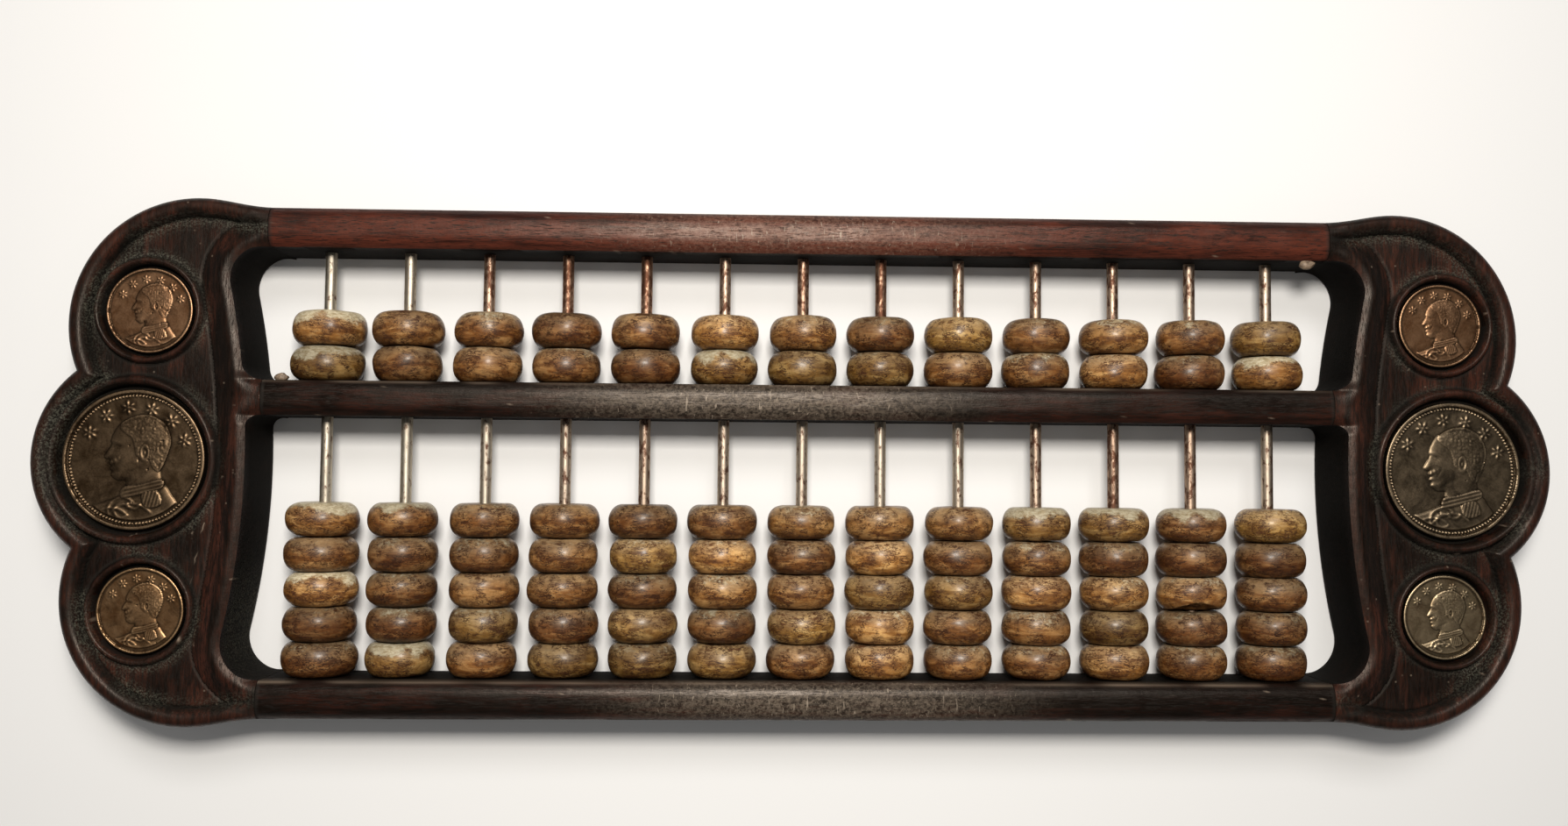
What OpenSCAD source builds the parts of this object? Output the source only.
// Antique Chinese abacus (suanpan): carved hardwood frame, thirteen metal rods,
// two beads above and five beads below the divider beam, coins set into both ends.
// It lies flat. Origin: middle of the underside. +X runs along the length, +Y runs
// along the rods towards the upper deck, +Z points up, away from the table.

/* [Frame] */
// Thickness of the frame, from table to face
frame_h = 24; // [22.5:0.5:30]
// Distance from the middle to the inner face of the top rail
top_rail_in = 59.5; // [56:0.5:62]
// Width of the top rail
top_rail_w = 11; // [10:0.5:13]
// Distance from the middle to the inner face of the bottom rail
bottom_rail_in = 60; // [58:0.5:62]
// Width of the bottom rail
bottom_rail_w = 10.5; // [9:0.5:12]
// Distance from the middle to the lower face of the divider beam
beam_low = 12.7; // [10:0.1:14]
// Width of the divider beam
beam_w = 9.8; // [8:0.1:11]
// How far the divider beam lies below the frame's face
beam_drop = 0.8; // [0.4:0.2:1.4]
// Distance from the middle to the joint between a rail and an end board
rail_joint = 149; // [147:0.5:150]
// Radius of the long rounded edges of the rails and the beam
rail_round = 3; // [1:0.5:4]

/* [End boards] */
// Half of the overall length, to the tip of the middle lobe
end_tip = 212; // [210:0.5:214]
// Radius of the middle lobe
mid_lobe_r = 31.3; // [30:0.1:33]
// Radius of each outer lobe
outer_lobe_r = 35; // [34:0.5:36]
// Distance from the middle to the centre of the outer lobes, along X
outer_lobe_x = 168; // [167:0.5:169]
// Distance from the middle to the centre of the outer lobes, along Y
outer_lobe_y = 37.7; // [37:0.1:38]
// Width of the raised rim around the outer edge
rim_w = 5; // [3:0.5:6]
// Depth of the recessed field below the frame's face
field_drop = 3; // [2:0.5:4]
// Width of the raised moulding beside the opening
moulding_w = 7; // [5:0.5:8]
// Distance from the middle to the inner edge of the board at its waist
waist_x = 153.7; // [153:0.1:155]
// Radius of the bowed inner edge
bow_r = 228; // [200:4:260]
// Radius of the opening's outer corners
corner_r = 9; // [7:0.5:10]
// Radius of the small fillets where the divider beam meets the boards
fillet_r = 3.5; // [2:0.5:5]

/* [Rods] */
// Number of rods
rod_count = 13; // [9:2:13]
// Distance from rod to rod
rod_pitch = 22.5; // [22.2:0.1:22.6]
// Diameter of a rod
rod_d = 3.3; // [3:0.1:4]
// How deep each rod end sits in a rail
rod_seat = 6; // [4:0.5:8]

/* [Beads] */
// Diameter of a bead
bead_d = 20; // [18:0.5:21]
// Diameter of the hole through a bead
bead_bore_d = 5; // [4.6:0.1:6]
// Thickness of an upper-deck bead
upper_bead_t = 10; // [9:0.1:10.4]
// Thickness of a lower-deck bead
lower_bead_t = 9.65; // [9:0.05:9.8]
// Play between neighbouring beads
bead_gap = 0.1; // [0.05:0.05:0.2]

/* [Coins] */
// Diameter of a large coin
large_coin_d = 39; // [37:0.5:39.5]
// Thickness of a large coin
large_coin_t = 2.4; // [2:0.1:2.8]
// Diameter of a small coin
small_coin_d = 23.7; // [22:0.1:24.5]
// Thickness of a small coin
small_coin_t = 1.6; // [1.2:0.1:2]
// Distance from the middle to the centre of the large coins
large_coin_x = 184.9; // [184:0.1:186]
// Distance from the middle to the centre of the small coins, along X
small_coin_x = 181.8; // [181:0.1:183]
// Distance from the middle to the centre of the small coins, along Y
small_coin_y = 41.4; // [40:0.1:42]

/* [Hidden] */
fine = 96;
mid_z = frame_h / 2;
field_z = frame_h - field_drop;
// A tenon is this long, and fills these shares of a rail's width and height
tenon_l = 9;
tenon_w = 5;
tenon_h = 10;
// Play around a tenon and a rod in the wood
joint_play = 0.05;
// The shoulder of each end board swells past the rails over this length
shoulder_steps = 12;
shoulder_end_y = 70.5;
// The pockets are wider than their coins, and a raised ring stands around each
large_pocket_play = 1.2;
small_pocket_play = 1;
large_ring_w = 2.6;
small_ring_w = 2;
ring_rise = 1.6;
coin_rim_w = 1;
coin_rim_rise = 0.25;
beam_joint = waist_x - fillet_r;
beam_high = beam_low + beam_w;
// Cutting shapes reach this far past the faces they open
cut = 1;

GROUPS = ["heaven_bead_low", "heaven_bead_high", "earth_bead_high", "earth_beads_low"];
COLUMNS = [1:rod_count];
FRAME_NODES = ["left_end_board", "right_end_board", "top_rail", "bottom_rail",
    "divider_beam", "rods", "large_coins", "small_coins"];

function column_name(group, k) = str(group, "_", k < 10 ? "0" : "", k);
function column_x(k) = (k - (rod_count + 1) / 2) * rod_pitch;
// Height of the shoulder's edge, t from 0 at the lobe to 1 at the rail joint
function shoulder_y(t) =
    let (lobe_top = outer_lobe_y + outer_lobe_r)
    shoulder_end_y + (lobe_top - shoulder_end_y) * (1 + cos(180 * t)) / 2;

// ---- End boards: drawn for the left end, mirrored for the right ----

module shoulder_2d() {
    run = outer_lobe_x - rail_joint;
    edge = [for (i = [0:shoulder_steps])
        [-outer_lobe_x + run * i / shoulder_steps, shoulder_y(i / shoulder_steps)]];
    back = [for (i = [shoulder_steps:-1:0]) [edge[i].x, -edge[i].y]];
    polygon(concat(edge, back));
}

// Three lobes and the shoulders, drawn in by inset all round the outside
module lobes_2d(inset = 0) {
    translate([mid_lobe_r - end_tip, 0]) circle(r = mid_lobe_r - inset, $fn = fine);
    for (side = [-1, 1])
        translate([-outer_lobe_x, side * outer_lobe_y])
            circle(r = outer_lobe_r - inset, $fn = fine);
}

module outline_2d() {
    reach = outer_lobe_y + outer_lobe_r;
    intersection() {
        union() {
            lobes_2d();
            shoulder_2d();
        }
        translate([-end_tip, -reach]) square([end_tip - rail_joint, 2 * reach]);
    }
}

// The recessed field inside the rim
module field_2d() {
    lobes_2d(rim_w);
    inner_y = outer_lobe_y + outer_lobe_r - rim_w;
    translate([-outer_lobe_x, -inner_y])
        square([outer_lobe_x - rail_joint + cut, 2 * inner_y]);
}

// The opening beside the board, widened by grow for the moulding's outer edge
module opening_2d(grow = 0) {
    bow_x = waist_x + bow_r;
    round_x = bow_x - sqrt(bow_r * bow_r - pow(bottom_rail_in - corner_r, 2)) - corner_r;
    low = corner_r - bottom_rail_in;
    high = top_rail_in - corner_r;
    reach = rail_joint - cut;
    for (y = [low, high])
        translate([-round_x, y]) circle(r = corner_r + grow, $fn = fine);
    translate([-round_x, -bottom_rail_in - grow])
        square([round_x - reach, bottom_rail_in + top_rail_in + 2 * grow]);
    difference() {
        translate([-waist_x - corner_r - grow, low])
            square([waist_x + corner_r + grow - reach, high - low]);
        translate([-bow_x, 0]) circle(r = bow_r - grow, $fn = 4 * fine);
    }
}

// Stub that meets the divider beam, with a fillet on each side
module beam_stub_2d() {
    side_reach = waist_x + fillet_r;
    difference() {
        translate([-side_reach, beam_low - fillet_r])
            square([side_reach - beam_joint, beam_w + 2 * fillet_r]);
        for (y = [beam_low - fillet_r, beam_high + fillet_r])
            translate([-beam_joint, y]) circle(r = fillet_r, $fn = fine);
    }
}

module coin_pockets(extra, floor_drop = 0) {
    translate([-large_coin_x, 0, field_z - large_coin_t - floor_drop])
        cylinder(r = large_coin_d / 2 + large_pocket_play + extra * large_ring_w,
            h = large_coin_t + ring_rise + floor_drop, $fn = fine);
    for (side = [-1, 1])
        translate([-small_coin_x, side * small_coin_y, field_z - small_coin_t - floor_drop])
            cylinder(r = small_coin_d / 2 + small_pocket_play + extra * small_ring_w,
                h = small_coin_t + ring_rise + floor_drop, $fn = fine);
}

module tenon(y, x, play = 0) {
    translate([-x - tenon_l - play, y - tenon_w / 2 - play, mid_z - tenon_h / 2 - play])
        cube([tenon_l + play + (play > 0 ? 0 : cut), tenon_w + 2 * play, tenon_h + 2 * play]);
}

module end_board_left() {
    top_y = top_rail_in + top_rail_w / 2;
    bottom_y = -bottom_rail_in - bottom_rail_w / 2;
    difference() {
        union() {
            linear_extrude(field_z) difference() {
                outline_2d();
                opening_2d();
            }
            linear_extrude(frame_h) difference() {
                outline_2d();
                field_2d();
                opening_2d();
            }
            linear_extrude(frame_h) difference() {
                intersection() {
                    outline_2d();
                    opening_2d(moulding_w);
                }
                opening_2d();
            }
            translate([0, 0, beam_drop]) linear_extrude(frame_h - 2 * beam_drop) beam_stub_2d();
            coin_pockets(1);
        }
        translate([0, 0, cut]) coin_pockets(0, cut);
        tenon(top_y, rail_joint, joint_play);
        tenon(bottom_y, rail_joint, joint_play);
        tenon(beam_low + beam_w / 2, beam_joint, joint_play);
    }
}

module left_end_board() {
    color("#3a2420") end_board_left();
}

module right_end_board() {
    color("#3a2420") mirror([1, 0, 0]) end_board_left();
}

// ---- Rails and divider beam ----

// A bar along X with rounded long edges, from -half to +half, with its tenons
module bar(y, width, height, half) {
    translate([-half, 0, 0]) rotate([90, 0, 90]) linear_extrude(2 * half)
        union() {
            translate([y - width / 2, mid_z - height / 2 + rail_round])
                square([width, height - 2 * rail_round]);
            translate([y - width / 2 + rail_round, mid_z - height / 2])
                square([width - 2 * rail_round, height]);
            for (a = [-1, 1], b = [-1, 1])
                translate([y + a * (width / 2 - rail_round), mid_z + b * (height / 2 - rail_round)])
                    circle(r = rail_round, $fn = fine);
        }
    tenon(y, half);
    mirror([1, 0, 0]) tenon(y, half);
}

// Holes for the rods, from y = low to y = high
module rod_holes(low, high) {
    for (k = COLUMNS)
        translate([column_x(k), low, mid_z]) rotate([-90, 0, 0])
            cylinder(d = rod_d + 2 * joint_play, h = high - low, $fn = fine);
}

module top_rail() {
    color("#5a2c24") difference() {
        bar(top_rail_in + top_rail_w / 2, top_rail_w, frame_h, rail_joint);
        rod_holes(top_rail_in - cut, top_rail_in + rod_seat);
    }
}

module bottom_rail() {
    color("#33211e") difference() {
        bar(-bottom_rail_in - bottom_rail_w / 2, bottom_rail_w, frame_h, rail_joint);
        rod_holes(-bottom_rail_in - rod_seat, -bottom_rail_in + cut);
    }
}

module divider_beam() {
    color("#38231f") difference() {
        bar(beam_low + beam_w / 2, beam_w, frame_h - 2 * beam_drop, beam_joint);
        rod_holes(beam_low - cut, beam_high + cut);
    }
}

// ---- Rods ----

module rods() {
    length = bottom_rail_in + top_rail_in + 2 * rod_seat;
    color("#b9a888") for (k = COLUMNS)
        translate([column_x(k), -bottom_rail_in - rod_seat, mid_z]) rotate([-90, 0, 0])
            cylinder(d = rod_d, h = length, $fn = fine);
}

// ---- Coins: a disc with a low raised rim, lying in its pocket ----

module coin(diameter, thickness) {
    translate([0, 0, field_z - thickness]) difference() {
        cylinder(d = diameter, h = thickness + coin_rim_rise, $fn = fine);
        translate([0, 0, thickness])
            cylinder(d = diameter - 2 * coin_rim_w, h = coin_rim_rise + cut, $fn = fine);
    }
}

module large_coins() {
    color("#8c7d66") for (end = [-1, 1])
        translate([end * large_coin_x, 0, 0]) coin(large_coin_d, large_coin_t);
}

module small_coins() {
    color("#a5783f") for (end = [-1, 1], side = [-1, 1])
        translate([end * small_coin_x, side * small_coin_y, 0]) coin(small_coin_d, small_coin_t);
}

// ---- Beads ----

// One drum-shaped bead around the rod of column k, its lower face at y
module bead(k, y, thickness) {
    edge_r = thickness / 2;
    translate([column_x(k), y, mid_z]) rotate([-90, 0, 0]) difference() {
        rotate_extrude($fn = fine) {
            square([bead_d / 2 - edge_r, thickness]);
            translate([bead_d / 2 - edge_r, edge_r]) intersection() {
                circle(r = edge_r, $fn = fine);
                translate([0, -edge_r]) square([edge_r, thickness]);
            }
        }
        translate([0, 0, -cut]) cylinder(d = bead_bore_d, h = thickness + 2 * cut, $fn = fine);
    }
}

// Upper-deck bead that rests beside the divider beam
module heaven_bead_low(k) {
    color("#a98552") bead(k, beam_high + bead_gap, upper_bead_t);
}

// Upper-deck bead that rests on the one below it
module heaven_bead_high(k) {
    color("#b08c58") bead(k, beam_high + 2 * bead_gap + upper_bead_t, upper_bead_t);
}

// Lower face of bead i of the lower deck, counted from 0 at the bottom rail
function earth_bead_y(i) = -bottom_rail_in + bead_gap + i * (lower_bead_t + bead_gap);

// The four beads of the lower deck nearest the bottom rail
module earth_beads_low(k) {
    color("#9c7848") for (i = [0:3]) bead(k, earth_bead_y(i), lower_bead_t);
}

// The fifth bead of the lower deck, on top of the other four
module earth_bead_high(k) {
    color("#a98552") bead(k, earth_bead_y(4), lower_bead_t);
}

left_end_board();
right_end_board();
top_rail();
bottom_rail();
divider_beam();
rods();
large_coins();
small_coins();
for (k = COLUMNS) {
    heaven_bead_low(k);
    heaven_bead_high(k);
    earth_bead_high(k);
    earth_beads_low(k);
}
